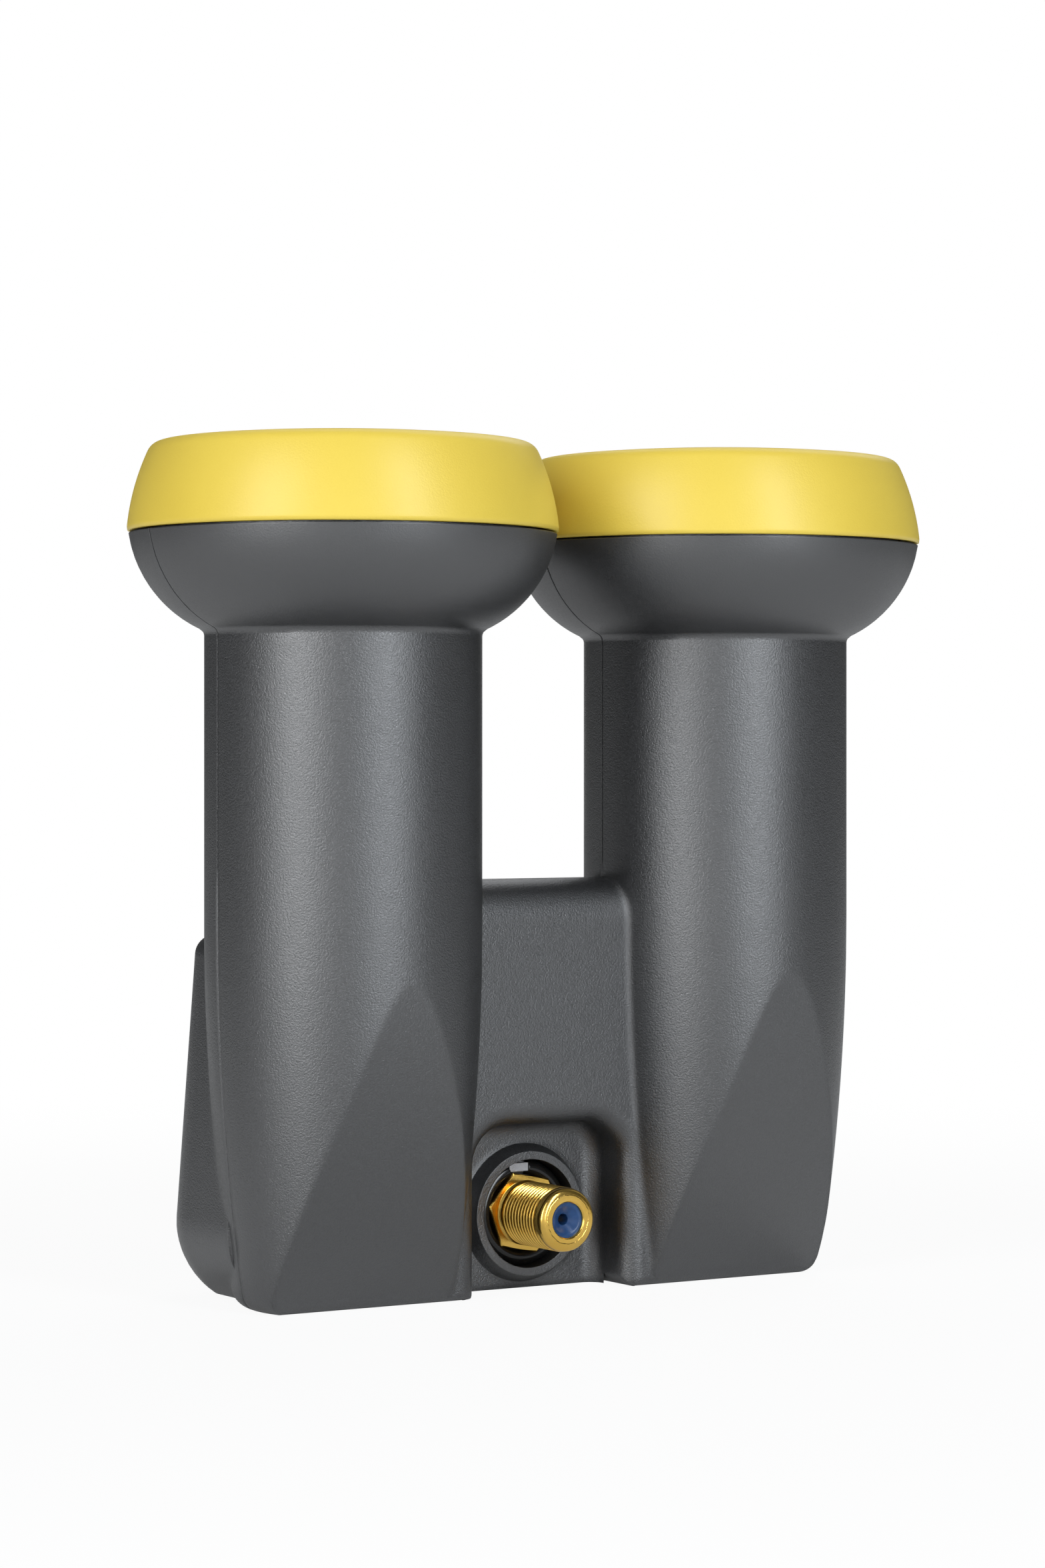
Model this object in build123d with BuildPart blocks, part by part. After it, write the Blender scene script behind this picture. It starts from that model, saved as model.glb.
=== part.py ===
"""Twin-feed satellite LNB in a two-shell moulded housing.

Sizes are in millimetres. Z runs up along the feed axes, the front with the connector looks
towards -Y, and the origin is on the base, midway between the two feed axes.
"""

import os
from math import atan2, degrees, sqrt

from build123d import *

os.makedirs("parts", exist_ok=True)

# Driving dimensions of the housing
neck_d = 40.0  # clamp diameter of each neck
foot_d = 31.4  # column diameter at the base
taper_top = 55.0  # height where the columns start to narrow
foot_round = 3.2  # rounding of the columns' lower edge
head_d = 61.6  # diameter of the feed heads at their rim
head_gap = 3.4  # space between the two heads
rim_z = 111.0  # height of the heads' rim
bowl_r = 18.1  # radius of the arc that swells from neck to rim
bowl_rise = 2.7  # height of that arc's centre above the rim
neck_fillet = 1.2  # rounding between neck and bowl
wall = 2.1  # thickness of both shells
parting_y = 0.8  # plane in which the shells meet
seam_gap = 0.3  # open line between the shells

# Driving dimensions of the front
facet_top = 48.0  # height where the arch facets begin
facet_lean = 0.1  # how steeply they start, as run to drop
facet_step = 0.3  # how far the facets' foot stands before the web
facet_round = 1.8  # rounding of the facets' lower edge
web_front = -5.3  # front face of the web between the columns
web_top = 61.0  # ridge of the web
recess_w = 25.8  # width of the connector recess
recess_top = 25.0  # height of the recess
recess_y = 3.4  # floor of the recess
recess_corner = 6.0  # rounding of its upper corners
recess_floor_round = 2.4  # rounding between its floor and its sides
recess_foot_round = 2.0  # rounding of its lower corners at the base
recess_edge_share = 0.58  # rounding of its front edge, as a share of the land beside it
boss_foot_d = 20.6  # ring boss round the connector, at the recess floor
boss_rim_d = 18.5  # the same ring at its rim
boss_h = 2.2  # height of the ring
boss_bore_d = 16.1  # hole through the ring

# Driving dimensions of the rear bulge
bulge_w = 101.7  # width at the bottom
bulge_front = 2.5  # where its block starts inside the columns
bulge_back = 28.6  # depth behind the feed axes at the bottom
bulge_base = 0.8  # height of its underside
bulge_top = 53.0  # height of its upper edge
bulge_draft = 4.0  # draft angle of its sides
bulge_corner = 13.0  # rounding of the two upright corners
bulge_foot_r = 12.5  # rounding into the base
bulge_sink = 2.3  # how far that rounding would run on below the underside
bulge_head_r = 3.0  # rounding of the upper edge

# Driving dimensions of the feed caps
cap_gap = 0.3  # joint between head rim and cap
cap_overhang = 0.3  # cap's lower edge past the head's rim
cap_taper = 3.6  # how far the cap draws in up to its crown
cap_side_h = 12.7  # height of the cap's curved side
cap_side_r = 34.0  # radius of that curve
cap_crown_h = 1.4  # height of the rounded crown above the side
cap_crown_round = 1.7  # rounding between side and crown
cap_wall = 1.6

# Driving dimensions of the casting
guide_bore_d = 18.0  # round waveguide
guide_wall = 4.0
guide_end_z = 28.0  # closed lower end of the waveguides
guide_end_t = 3.0
horn_clear = 0.9  # space between horn and head
horn_rise = 5.2  # horn above the head's rim
horn_drop = 2.0  # underside of the horn's floor below the rim
horn_floor_t = 2.0
horn_flare_h = 11.0  # height of the guide's flare under the floor
horn_flare_share = 0.79  # that flare's diameter under the floor, as a share of the rim's
horn_mouth_d = 25.0  # bore where it opens into the horn
horn_mouth_l = 7.0
horn_ring_t = 1.6  # thickness of the choke rings
horn_ring_share = (0.52, 0.74)  # inner radii of the choke rings, as shares of the rim's
horn_ring_drop = 1.0  # choke rings below the horn's rim
seal_rise = 2.6  # cap seal's middle above the rim
seal_section = 2.0  # thickness of the cap seal
seal_groove = 1.1  # depth of its groove
tray_w = 78.0
tray_low_z = 6.5
tray_high_z = 46.5
tray_front_y = 9.5  # front face of the tray's floor
tray_floor_t = 2.0
tray_depth = 7.0  # height of the tray's walls over its floor
tray_wall = 2.5
tray_corner = 4.0
cover_t = 1.5
gasket_t = 0.5
screw_d = 2.5
screw_head_d = 4.6
screw_head_h = 1.6
screw_length = 6.0
lug_d = 6.0  # screw bosses in the tray
lug_inset = 4.5  # from the tray's edge to the lug's middle
board_t = 1.0
board_post_h = 2.0  # height of the posts under the board
board_post_d = 5.0
board_post_step = 3.0  # from the cross probe to the post, across the board
board_post_dz = 10.0  # posts above and below the tray's middle
board_screw_d = 2.0
board_screw_head_d = 3.8
board_screw_head_h = 1.3
board_margin = 1.0  # space between board and tray walls
fit = 0.15  # clearance between pieces that are fitted together

# Driving dimensions of the connector
connector_z = 11.2
hex_af = 11.0  # hexagon across its flats
hex_t = 1.7
hex_rise = 1.6  # hexagon's back in front of the recess's inner face
hex_turn = -11.0  # turn of the hexagon from flat side up
thread_d = 9.525  # three-eighths inch barrel
barrel_l = 11.8  # barrel in front of the hexagon
nose_chamfer = 0.55
mouth_d = 5.6  # mouth of the barrel
mouth_l = 9.0
shank_d = 7.5  # shank in the casting
pad_d = 15.0  # pad of the casting behind the hexagon
rear_bore_d = 3.0  # bore through the shank
insulator_hole_d = 1.6
insulator_sink = 0.5  # insulator below the barrel's end
contact_d = 1.1
washer_section = 1.5  # thickness of the rubber ring round the hexagon
key_w = 3.2  # key of the casting in a gap of that ring
key_h = 1.2
key_shift = -1.0  # key's middle beside the connector's axis
key_rise = 1.4  # key in front of the pad

# Driving dimensions of the probes
probe_d = 1.2
probe_reach = 5.5  # length inside the waveguide
bead_d = 4.0
probe_bend = 2.0  # bend of the cross probe
upright_z = 41.5
cross_z = 34.0
cross_offset = 17.5  # from the feed axis to the cross probe's upright leg

# Driving dimensions of the chips: width, height and thickness
amplifier_size = (2.0, 2.0, 0.8)
converter_size = (5.0, 5.0, 0.9)
switch_size = (6.0, 6.0, 1.0)
crystal_size = (3.2, 2.5, 0.8)
regulator_size = (6.5, 6.1, 2.3)

# Derived sizes
pitch = head_d + head_gap  # distance between the two feed axes
neck_r = neck_d / 2
bowl_x = head_d / 2 - sqrt(bowl_r**2 - bowl_rise**2)
bowl_z = rim_z + bowl_rise
facet_y = web_front - facet_step
hex_back_y = recess_y + wall + seam_gap - hex_rise
hex_front_y = hex_back_y - hex_t
nose_y = hex_front_y - barrel_l
key_z = hex_af / sqrt(3) - fit + key_h / 2  # key's middle above the connector's axis
land_w = pitch / 2 - sqrt((foot_d / 2) ** 2 - web_front**2) - recess_w / 2
recess_edge = recess_edge_share * land_w
cap_lip_d = head_d + 2 * cap_overhang
cap_crown_d = cap_lip_d - 2 * cap_taper
horn_rim_d = head_d - 2 * wall - 2 * horn_clear
horn_flare_d = horn_flare_share * horn_rim_d
horn_ring_r = [share * horn_rim_d / 2 for share in horn_ring_share]
board_post_x = pitch / 2 - cross_offset + board_post_step
horn_top_z = rim_z + horn_rise
horn_floor_z = rim_z - horn_drop
horn_flare_z = horn_floor_z - horn_flare_h
seal_z = rim_z + seal_rise
lip_z = rim_z + cap_gap
crown_z = lip_z + cap_side_h
guide_d = guide_bore_d + 2 * guide_wall
tray_mid_z = (tray_low_z + tray_high_z) / 2
tray_h = tray_high_z - tray_low_z
tray_floor_y = tray_front_y + tray_floor_t
tray_rim_y = tray_floor_y + tray_depth
board_y = tray_floor_y + board_post_h
chip_y = board_y + board_t
cover_y = tray_rim_y + gasket_t
sides = (-1, 1)
names = {-1: "left", 1: "right"}


def axis_at(side):
    """Feed axis of the left (-1) or right (1) column."""
    return Axis((side * pitch / 2, 0, 0), (0, 0, 1))


def section_at(side):
    """Upright plane through a feed axis, with radius across and height up."""
    return Plane((side * pitch / 2, 0, 0), x_dir=(1, 0, 0), z_dir=(0, -1, 0))


def facing_front(y):
    """Plane on the connector's axis that looks to the front, at depth y."""
    return Plane((0, y, connector_z), x_dir=(1, 0, 0), z_dir=(0, -1, 0))


def facing_back(x, y, z):
    """Plane at a point of the tray that looks to the back, with Z up."""
    return Plane((x, y, z), x_dir=(-1, 0, 0), z_dir=(0, 1, 0))


def bulge_form(inset):
    """Rear bulge: a drafted block with round corners, its skin moved inwards by inset."""
    low = bulge_base - bulge_sink + inset
    with BuildPart() as bulge:
        with BuildSketch(Plane.XY.offset(low)):
            RectangleRounded(bulge_w - 2 * inset, 2 * (bulge_back - inset), bulge_corner - inset)
        extrude(amount=bulge_top - inset - low, taper=bulge_draft)
        fillet(bulge.faces().sort_by(Axis.Z)[0].edges(), bulge_foot_r - inset)
        fillet(bulge.faces().sort_by(Axis.Z)[-1].edges(), bulge_head_r)
        split(bisect_by=Plane.XZ.offset(-bulge_front), keep=Keep.BOTTOM)
        split(bisect_by=Plane.XY.offset(bulge_base + inset), keep=Keep.TOP)
    return bulge.part


def facet_outline(inset):
    """Side view of what the facets take away: one curved cut that leaves an arch on each column."""
    neck = neck_r - inset
    foot = facet_y + inset
    edge_z = inset + facet_round
    under = (foot + facet_round, inset)
    with BuildSketch(Plane.YZ) as outline:
        with BuildLine():
            TangentArc((-neck, facet_top), (foot, edge_z), tangent=(facet_lean, -1))
            RadiusArc((foot, edge_z), under, -facet_round)
            Polyline(under, (-neck_d, inset), (-neck_d, facet_top), (-neck, facet_top))
        make_face()
    return outline.sketch


def housing_form(inset):
    """Solid form of the whole housing, its skin moved inwards by inset."""
    neck = neck_r - inset
    foot = foot_d / 2 - inset
    bowl = bowl_r - inset
    rim = bowl_x + sqrt(bowl**2 - bowl_rise**2)
    neck_top = bowl_z - sqrt(bowl**2 - (neck - bowl_x) ** 2)
    bowl_start = degrees(atan2(neck_top - bowl_z, neck - bowl_x))
    bowl_end = degrees(atan2(rim_z - bowl_z, rim - bowl_x))
    web_half = parting_y - web_front - inset
    web_round_z = web_top - inset - web_half
    with BuildPart() as form:
        for side in sides:
            with BuildSketch(section_at(side)) as profile:
                with BuildLine():
                    Polyline((foot, inset), (0, inset), (0, rim_z), (rim, rim_z))
                    CenterArc((bowl_x, bowl_z), bowl, bowl_start, bowl_end - bowl_start)
                    Line((neck, neck_top), (neck, taper_top))
                    TangentArc((neck, taper_top), (foot, inset), tangent=(0, -1))
                make_face()
                fillet(profile.vertices().sort_by_distance((neck, neck_top))[0], neck_fillet)
                fillet(profile.vertices().sort_by_distance((foot, inset))[0], foot_round)
            revolve(axis=axis_at(side))
        with BuildSketch(Plane.YZ):
            with BuildLine():
                low_back = (parting_y + web_half, inset)
                low_front = (parting_y - web_half, inset)
                high_front = (parting_y - web_half, web_round_z)
                high_back = (parting_y + web_half, web_round_z)
                Polyline(high_back, low_back, low_front, high_front)
                ThreePointArc(high_front, (parting_y, web_top - inset), high_back)
            make_face()
        extrude(amount=pitch / 2, both=True)
        add(bulge_form(inset))
        extrude(facet_outline(inset), amount=pitch, both=True, mode=Mode.SUBTRACT)
    return form.part


def recess_outline(grow):
    """Front view of the connector recess, open at the base, widened by grow."""
    half = recess_w / 2 + grow
    with BuildSketch(Plane.XZ) as outline:
        with BuildLine():
            Polyline((-half, recess_top + grow), (-half, 0), (half, 0), (half, recess_top + grow), close=True)
        make_face()
        fillet(outline.vertices().group_by(Axis.Y)[-1], recess_corner + grow)
    return outline.sketch


def foot_corners():
    """Front view of what rounds the two lower corners of the recess."""
    half = recess_w / 2
    with BuildSketch(Plane.XZ) as corners:
        for side in sides:
            with Locations((side * (half + recess_foot_round / 2), recess_foot_round / 2)):
                Rectangle(recess_foot_round, recess_foot_round)
            with Locations((side * (half + recess_foot_round), recess_foot_round)):
                Circle(recess_foot_round, mode=Mode.SUBTRACT)
    return corners.sketch


outer_form = housing_form(0)
inner_form = housing_form(wall)

# Front shell: both arch facets, the web and the pocket with its ring boss for the connector
with BuildPart() as front_shell:
    add(outer_form)
    add(inner_form, mode=Mode.SUBTRACT)
    split(bisect_by=Plane.XZ.offset(seam_gap / 2 - parting_y), keep=Keep.TOP)
    extrude(recess_outline(wall), amount=-web_front - wall / 2)
    extrude(recess_outline(wall), amount=-recess_y - wall)
    extrude(recess_outline(0), amount=neck_r, mode=Mode.SUBTRACT)
    extrude(recess_outline(0), amount=-recess_y, mode=Mode.SUBTRACT)
    floor_edges = (
        front_shell.edges()
        .filter_by_position(Axis.Y, recess_y - 0.01, recess_y + 0.01)
        .filter_by(lambda edge: edge.center().Z > 1 and abs(edge.center().X) < recess_w / 2 + 0.1)
    )
    fillet(floor_edges, recess_floor_round)
    with BuildSketch(facing_front(recess_y)):
        Circle(boss_foot_d / 2)
    with BuildSketch(facing_front(recess_y - boss_h)):
        Circle(boss_rim_d / 2)
    loft()
    with BuildSketch(facing_front(recess_y + 2 * wall)):
        Circle(boss_bore_d / 2)
    extrude(amount=4 * wall + boss_h, mode=Mode.SUBTRACT)
    recess_rim = (
        front_shell.edges()
        .filter_by_position(Axis.Y, web_front - 0.01, web_front + 0.01)
        .filter_by_position(Axis.X, -recess_w / 2 - 0.1, recess_w / 2 + 0.1)
        .filter_by_position(Axis.Z, 0, recess_top + 0.1)
    )
    fillet(recess_rim, recess_edge)
    extrude(foot_corners(), amount=neck_r, mode=Mode.SUBTRACT)
    extrude(foot_corners(), amount=-recess_y, mode=Mode.SUBTRACT)
front_shell.part.label = "front_shell"
export_step(front_shell.part, "parts/front_shell.step")

# Rear shell: the back of both columns and the bulge over the electronics
with BuildPart() as rear_shell:
    add(outer_form)
    add(inner_form, mode=Mode.SUBTRACT)
    split(bisect_by=Plane.XZ.offset(-seam_gap / 2 - parting_y), keep=Keep.BOTTOM)
    extrude(recess_outline(wall + seam_gap), amount=-recess_y - wall - seam_gap, mode=Mode.SUBTRACT)
rear_shell.part.label = "rear_shell"
export_step(rear_shell.part, "parts/rear_shell.step")


def cap_form(side, inset):
    """Solid form of a feed cap, its skin moved inwards by inset."""
    lip = cap_lip_d / 2 - inset
    shoulder = (cap_crown_d / 2 - inset, crown_z - inset)
    top = (0, crown_z + cap_crown_h - inset)
    dome_r = (shoulder[0] ** 2 + cap_crown_h**2) / (2 * cap_crown_h)
    with BuildPart() as form:
        with BuildSketch(section_at(side)) as profile:
            with BuildLine():
                RadiusArc((lip, lip_z), shoulder, -cap_side_r)
                RadiusArc(shoulder, top, -dome_r)
                Polyline(top, (0, lip_z), (lip, lip_z))
            make_face()
            fillet(profile.vertices().sort_by_distance(shoulder)[0], cap_crown_round)
        revolve(axis=axis_at(side))
    return form.part


# Feed caps: thin domed lids over the horns, with rubber rings inside their skirts
seal_r = horn_rim_d / 2 - seal_groove + seal_section / 2
for side in sides:
    with BuildPart() as feed_cap:
        add(cap_form(side, 0))
        add(cap_form(side, cap_wall), mode=Mode.SUBTRACT)
    feed_cap.part.label = f"{names[side]}_feed_cap"
    export_step(feed_cap.part, f"parts/{names[side]}_feed_cap.step")

    with BuildPart() as cap_seal:
        with BuildSketch(section_at(side)):
            with Locations((seal_r, seal_z)):
                Circle(seal_section / 2)
        revolve(axis=axis_at(side))
    cap_seal.part.label = f"{names[side]}_cap_seal"
    export_step(cap_seal.part, f"parts/{names[side]}_cap_seal.step")

# Places of the screws on the tray, seen from the back
lug_x = tray_w / 2 - lug_inset
lug_z = tray_h / 2 - lug_inset
lug_top_x = pitch / 2 - cross_offset
lug_places = [(-lug_x, -lug_z), (lug_x, -lug_z), (-lug_top_x, lug_z), (lug_top_x, lug_z)]
post_places = GridLocations(2 * board_post_x, 2 * board_post_dz, 2, 2)
shank_hole_d = screw_d + 2 * fit
post_hole_d = board_screw_d + 2 * fit
bead_hole_d = bead_d + 2 * fit

# Casting: two horns with round waveguides, and the tray behind them
with BuildPart() as cast_body:
    with BuildSketch(facing_back(0, tray_front_y, tray_mid_z)):
        RectangleRounded(tray_w, tray_h, tray_corner)
    extrude(amount=tray_floor_t + tray_depth)
    with BuildSketch(facing_back(0, tray_floor_y, tray_mid_z)):
        RectangleRounded(tray_w - 2 * tray_wall, tray_h - 2 * tray_wall, tray_corner - tray_wall / 2)
    extrude(amount=tray_depth, mode=Mode.SUBTRACT)
    with BuildSketch(facing_back(0, tray_floor_y, tray_mid_z)):
        with Locations(*lug_places):
            Circle(lug_d / 2)
    extrude(amount=tray_depth)
    with BuildSketch(facing_back(0, tray_rim_y, tray_mid_z)):
        with Locations(*lug_places):
            Circle(shank_hole_d / 2)
    extrude(amount=-screw_length, mode=Mode.SUBTRACT)
    with BuildSketch(facing_back(0, tray_floor_y, tray_mid_z)):
        with post_places:
            Circle(board_post_d / 2)
    extrude(amount=board_post_h)
    with BuildSketch(facing_back(0, board_y, tray_mid_z)):
        with post_places:
            Circle(post_hole_d / 2)
    extrude(amount=-board_post_h - tray_floor_t / 2, mode=Mode.SUBTRACT)
    horn_floor_top = horn_floor_z + horn_floor_t
    for side in sides:
        with BuildSketch(section_at(side)):
            with BuildLine():
                Polyline(
                    (0, guide_end_z - guide_end_t),
                    (guide_d / 2, guide_end_z - guide_end_t),
                    (guide_d / 2, horn_flare_z),
                    (horn_flare_d / 2, horn_floor_z),
                    (horn_rim_d / 2, horn_floor_z),
                    (horn_rim_d / 2, horn_top_z),
                    (horn_rim_d / 2 - 2 * horn_ring_t, horn_top_z),
                    (horn_rim_d / 2 - 2 * horn_ring_t, horn_floor_top),
                    (horn_mouth_d / 2, horn_floor_top),
                    (guide_bore_d / 2, horn_floor_top - horn_mouth_l),
                    (guide_bore_d / 2, guide_end_z),
                    (0, guide_end_z),
                    close=True,
                )
            make_face()
            ring_h = horn_top_z - horn_ring_drop - horn_floor_z
            for ring_r in horn_ring_r:
                with Locations((ring_r + horn_ring_t / 2, horn_floor_z + ring_h / 2)):
                    Rectangle(horn_ring_t, ring_h)
            with Locations((horn_rim_d / 2, seal_z)):
                Rectangle(2 * seal_groove, seal_section + 2 * fit, mode=Mode.SUBTRACT)
        revolve(axis=axis_at(side))
        with BuildSketch(facing_back(side * pitch / 2, 0, upright_z)):
            Circle(bead_hole_d / 2)
        extrude(amount=board_y, mode=Mode.SUBTRACT)
        cross_x = side * (pitch / 2 - cross_offset)
        with BuildSketch(facing_back(cross_x, tray_front_y, cross_z)):
            Circle(bead_hole_d / 2)
        extrude(amount=tray_floor_t, mode=Mode.SUBTRACT)
        with BuildSketch(Plane((cross_x, 0, cross_z), x_dir=(0, 1, 0), z_dir=(side, 0, 0))):
            Circle(bead_hole_d / 2)
        extrude(amount=cross_offset, mode=Mode.SUBTRACT)
    extrude(facet_outline(wall + 2 * seam_gap), amount=pitch, both=True, mode=Mode.SUBTRACT)
    with BuildSketch(facing_front(tray_front_y)):
        Circle(pad_d / 2)
    extrude(amount=tray_front_y - hex_back_y)
    with BuildSketch(facing_front(hex_back_y)):
        with Locations((key_shift, key_z)):
            Rectangle(key_w, key_h)
    extrude(amount=key_rise)
    with BuildSketch(facing_front(tray_floor_y)):
        Circle(shank_d / 2 + fit)
    extrude(amount=tray_floor_y - hex_back_y, mode=Mode.SUBTRACT)
cast_body.part.label = "cast_body"
export_step(cast_body.part, "parts/cast_body.step")

# Lid of the tray with its flat gasket and screws
with BuildPart() as tray_cover:
    with BuildSketch(facing_back(0, cover_y, tray_mid_z)):
        RectangleRounded(tray_w, tray_h, tray_corner)
        with Locations(*lug_places):
            Circle(shank_hole_d / 2, mode=Mode.SUBTRACT)
    extrude(amount=cover_t)
tray_cover.part.label = "tray_cover"
export_step(tray_cover.part, "parts/tray_cover.step")

with BuildPart() as cover_gasket:
    with BuildSketch(facing_back(0, tray_rim_y, tray_mid_z)):
        RectangleRounded(tray_w, tray_h, tray_corner)
        RectangleRounded(
            tray_w - 2 * tray_wall, tray_h - 2 * tray_wall, tray_corner - tray_wall / 2, mode=Mode.SUBTRACT
        )
        with Locations(*lug_places):
            Circle(shank_hole_d / 2, mode=Mode.SUBTRACT)
    extrude(amount=gasket_t)
cover_gasket.part.label = "cover_gasket"
export_step(cover_gasket.part, "parts/cover_gasket.step")

with BuildPart() as cover_screws:
    with BuildSketch(facing_back(0, cover_y + cover_t, tray_mid_z)):
        with Locations(*lug_places):
            Circle(screw_head_d / 2)
    extrude(amount=screw_head_h)
    with BuildSketch(facing_back(0, cover_y + cover_t, tray_mid_z)):
        with Locations(*lug_places):
            Circle(screw_d / 2)
    extrude(amount=-screw_length)
cover_screws.part.label = "cover_screws"
export_step(cover_screws.part, "parts/cover_screws.step")

# Converter board on its posts, cut out round the lid's screw bosses
board_w = tray_w - 2 * (tray_wall + board_margin)
board_h = tray_h - 2 * (tray_wall + board_margin)
with BuildPart() as circuit_board:
    with BuildSketch(facing_back(0, board_y, tray_mid_z)):
        Rectangle(board_w, board_h)
        with Locations(*lug_places):
            Circle(lug_d / 2 + board_margin, mode=Mode.SUBTRACT)
        with post_places:
            Circle(post_hole_d / 2, mode=Mode.SUBTRACT)
    extrude(amount=board_t)
circuit_board.part.label = "circuit_board"
export_step(circuit_board.part, "parts/circuit_board.step")

with BuildPart() as board_screws:
    with BuildSketch(facing_back(0, chip_y, tray_mid_z)):
        with post_places:
            Circle(board_screw_head_d / 2)
    extrude(amount=board_screw_head_h)
    with BuildSketch(facing_back(0, chip_y, tray_mid_z)):
        with post_places:
            Circle(board_screw_d / 2)
    extrude(amount=-board_t - board_post_h)
board_screws.part.label = "board_screws"
export_step(board_screws.part, "parts/board_screws.step")

# Chips on the back of the board, each kind in its own node
cross_dz = cross_z - tray_mid_z
upright_dz = upright_z - tray_mid_z
amplifier_x = pitch / 2 - cross_offset / 2
chips = {
    "amplifier_chips": (amplifier_size, [(s * amplifier_x, dz) for s in sides for dz in (cross_dz, upright_dz)]),
    "converter_chips": (converter_size, [(s * board_post_x, 0) for s in sides]),
    "switch_chip": (switch_size, [(0, 0)]),
    "crystals": (crystal_size, [(s * board_post_x / 2, 0) for s in sides]),
    "regulator": (regulator_size, [(0, -board_post_dz)]),
}
for name, (size, places) in chips.items():
    with BuildPart() as chip:
        with BuildSketch(facing_back(0, chip_y, tray_mid_z)):
            with Locations(*places):
                Rectangle(size[0], size[1])
        extrude(amount=size[2])
    chip.part.label = name
    export_step(chip.part, f"parts/{name}.step")

# Probes: a straight pin and a bent one in each waveguide, held by insulating beads
guide_r = guide_d / 2
bore_r = guide_bore_d / 2
for side in sides:
    with BuildPart() as upright_probe:
        with BuildSketch(facing_back(side * pitch / 2, bore_r - probe_reach, upright_z)):
            Circle(probe_d / 2)
        extrude(amount=board_y - bore_r + probe_reach)
    upright_probe.part.label = f"{names[side]}_upright_probe"
    export_step(upright_probe.part, f"parts/{names[side]}_upright_probe.step")

    cross_x = side * (pitch / 2 - cross_offset)
    with BuildPart() as cross_probe:
        with BuildLine(Plane.XY.offset(cross_z)):
            tip_x = side * (pitch / 2 - bore_r + probe_reach)
            FilletPolyline((cross_x, board_y), (cross_x, 0), (tip_x, 0), radius=probe_bend)
        with BuildSketch(Plane((cross_x, board_y, cross_z), x_dir=(1, 0, 0), z_dir=(0, -1, 0))):
            Circle(probe_d / 2)
        sweep()
    cross_probe.part.label = f"{names[side]}_cross_probe"
    export_step(cross_probe.part, f"parts/{names[side]}_cross_probe.step")

with BuildPart() as probe_beads:
    for side in sides:
        cross_x = side * (pitch / 2 - cross_offset)
        with BuildSketch(facing_back(side * pitch / 2, bore_r, upright_z)):
            Circle(bead_d / 2)
            Circle(probe_d / 2 + fit, mode=Mode.SUBTRACT)
        extrude(amount=guide_wall)
        with BuildSketch(facing_back(cross_x, tray_front_y, cross_z)):
            Circle(bead_d / 2)
            Circle(probe_d / 2 + fit, mode=Mode.SUBTRACT)
        extrude(amount=tray_floor_t)
        bead_x = side * (pitch / 2 - guide_r)
        with BuildSketch(Plane((bead_x, 0, cross_z), x_dir=(0, 1, 0), z_dir=(side, 0, 0))):
            Circle(bead_d / 2)
            Circle(probe_d / 2 + fit, mode=Mode.SUBTRACT)
        extrude(amount=guide_wall)
probe_beads.part.label = "probe_beads"
export_step(probe_beads.part, "parts/probe_beads.step")

# Connector: gold-plated barrel with its hexagon, blue insulator, contact and rubber ring
with BuildPart() as connector_body:
    with BuildSketch(facing_front(hex_back_y)):
        RegularPolygon(hex_af / 2, 6, major_radius=False, rotation=hex_turn)
    extrude(amount=hex_t)
    with BuildSketch(facing_front(hex_front_y)):
        Circle(thread_d / 2)
    extrude(amount=barrel_l)
    chamfer(connector_body.faces().sort_by(Axis.Y)[0].edges(), nose_chamfer)
    with BuildSketch(facing_front(tray_floor_y)):
        Circle(shank_d / 2)
    extrude(amount=tray_floor_y - hex_back_y)
    with BuildSketch(facing_front(nose_y)):
        Circle(mouth_d / 2)
    extrude(amount=-mouth_l, mode=Mode.SUBTRACT)
    with BuildSketch(facing_front(tray_floor_y)):
        Circle(rear_bore_d / 2)
    extrude(amount=tray_floor_y - nose_y, mode=Mode.SUBTRACT)
connector_body.part.label = "connector_body"
export_step(connector_body.part, "parts/connector_body.step")

with BuildPart() as connector_insulator:
    with BuildSketch(facing_front(nose_y + mouth_l)):
        Circle(mouth_d / 2 - fit)
    extrude(amount=mouth_l - insulator_sink)
    fillet(connector_insulator.faces().sort_by(Axis.Y)[0].edges(), insulator_sink)
    with BuildSketch(facing_front(nose_y + mouth_l)):
        Circle(insulator_hole_d / 2)
    extrude(amount=mouth_l, mode=Mode.SUBTRACT)
connector_insulator.part.label = "connector_insulator"
export_step(connector_insulator.part, "parts/connector_insulator.step")

with BuildPart() as connector_contact:
    with BuildSketch(facing_front(board_y)):
        Circle(contact_d / 2)
    extrude(amount=board_y - nose_y - mouth_l / 2)
connector_contact.part.label = "connector_contact"
export_step(connector_contact.part, "parts/connector_contact.step")

with BuildPart() as connector_seal:
    with BuildSketch(Plane((0, hex_back_y - washer_section / 2, connector_z), x_dir=(1, 0, 0), z_dir=(0, 0, 1))):
        with Locations((hex_af / sqrt(3) + washer_section / 2 + fit / 2, 0)):
            Circle(washer_section / 2)
    revolve(axis=Axis((0, 0, connector_z), (0, 1, 0)))
    with BuildSketch(facing_front(hex_back_y)):
        with Locations((key_shift, key_z)):
            Rectangle(key_w + 2 * fit, 2 * key_h + 4 * washer_section)
    extrude(amount=2 * washer_section, mode=Mode.SUBTRACT)
connector_seal.part.label = "connector_seal"
export_step(connector_seal.part, "parts/connector_seal.step")
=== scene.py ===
"""Looks of a twin-feed satellite LNB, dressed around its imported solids.

The sections follow the way the real one is put together, from the casting out to the caps,
and end with the studio. Everything is in metres in the frame of the solids: Z up along the
feeds, -Y to the front with the connector.
"""

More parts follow.
